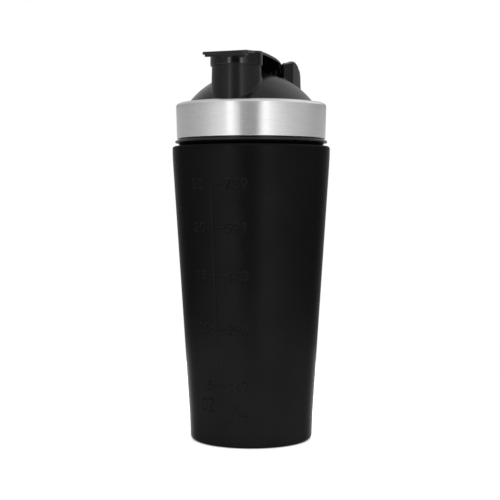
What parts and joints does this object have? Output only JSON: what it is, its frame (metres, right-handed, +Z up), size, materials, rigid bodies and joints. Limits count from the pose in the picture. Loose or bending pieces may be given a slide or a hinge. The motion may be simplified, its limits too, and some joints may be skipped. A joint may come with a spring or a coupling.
{
  "type": "protein shaker bottle",
  "caption": "Tapered steel shaker cup with a steel-banded screw lid, a dome with a round spout, a long flip cap hinged at the back and a carry loop.",
  "frame": {"origin": "centre of the cup's foot, on the surface that the bottle stands on", "axes": "+Z up along the cup's axis, -Y towards the spout, +Y towards the hinge and the carry loop"},
  "size_m": [0.0928, 0.0928, 0.226],
  "materials": {
    "coated_steel": "satin black powder coat",
    "black_plastic": "satin moulded plastic",
    "cap_plastic": "satin moulded plastic",
    "brushed_band": "brushed round the lid",
    "silicone": "matt",
    "pin_steel": "polished"
  },
  "bodies": {
    "cup_body": {"cup": "coated_steel"},
    "lid_carrier": {"lid_gasket": "silicone"},
    "lid": {"lid_shell": "black_plastic", "lid_band": "brushed_band", "mixing_grid": "black_plastic", "hinge_pin": "pin_steel"},
    "cap": {"flip_cap": "cap_plastic", "spout_seal": "silicone"},
    "loop": {"carry_loop": "cap_plastic"}
  },
  "joints": [
    {"name": "lid_rise", "type": "slide", "parent": "cup_body", "child": "lid_carrier", "axis": [0, 0, 1], "range_m": [0, 0.01]},
    {"name": "lid_turn", "type": "hinge", "parent": "lid_carrier", "child": "lid", "pos_m": [0, 0, 0.185], "axis": [0, 0, 1], "range_deg": [0, 720]},
    {"name": "cap_flip", "type": "hinge", "parent": "lid", "child": "cap", "pos_m": [0, 0.0174, 0.2175], "axis": [-1, 0, 0], "range_deg": [0, 135]},
    {"name": "loop_swing", "type": "hinge", "parent": "lid", "child": "loop", "pos_m": [0, 0.0174, 0.2175], "axis": [1, 0, 0], "range_deg": [0, 100]}
  ],
  "couplings": [
    {"joint": "lid_rise", "follows": "lid_turn", "m_per_rad": 0.00079577}
  ]
}
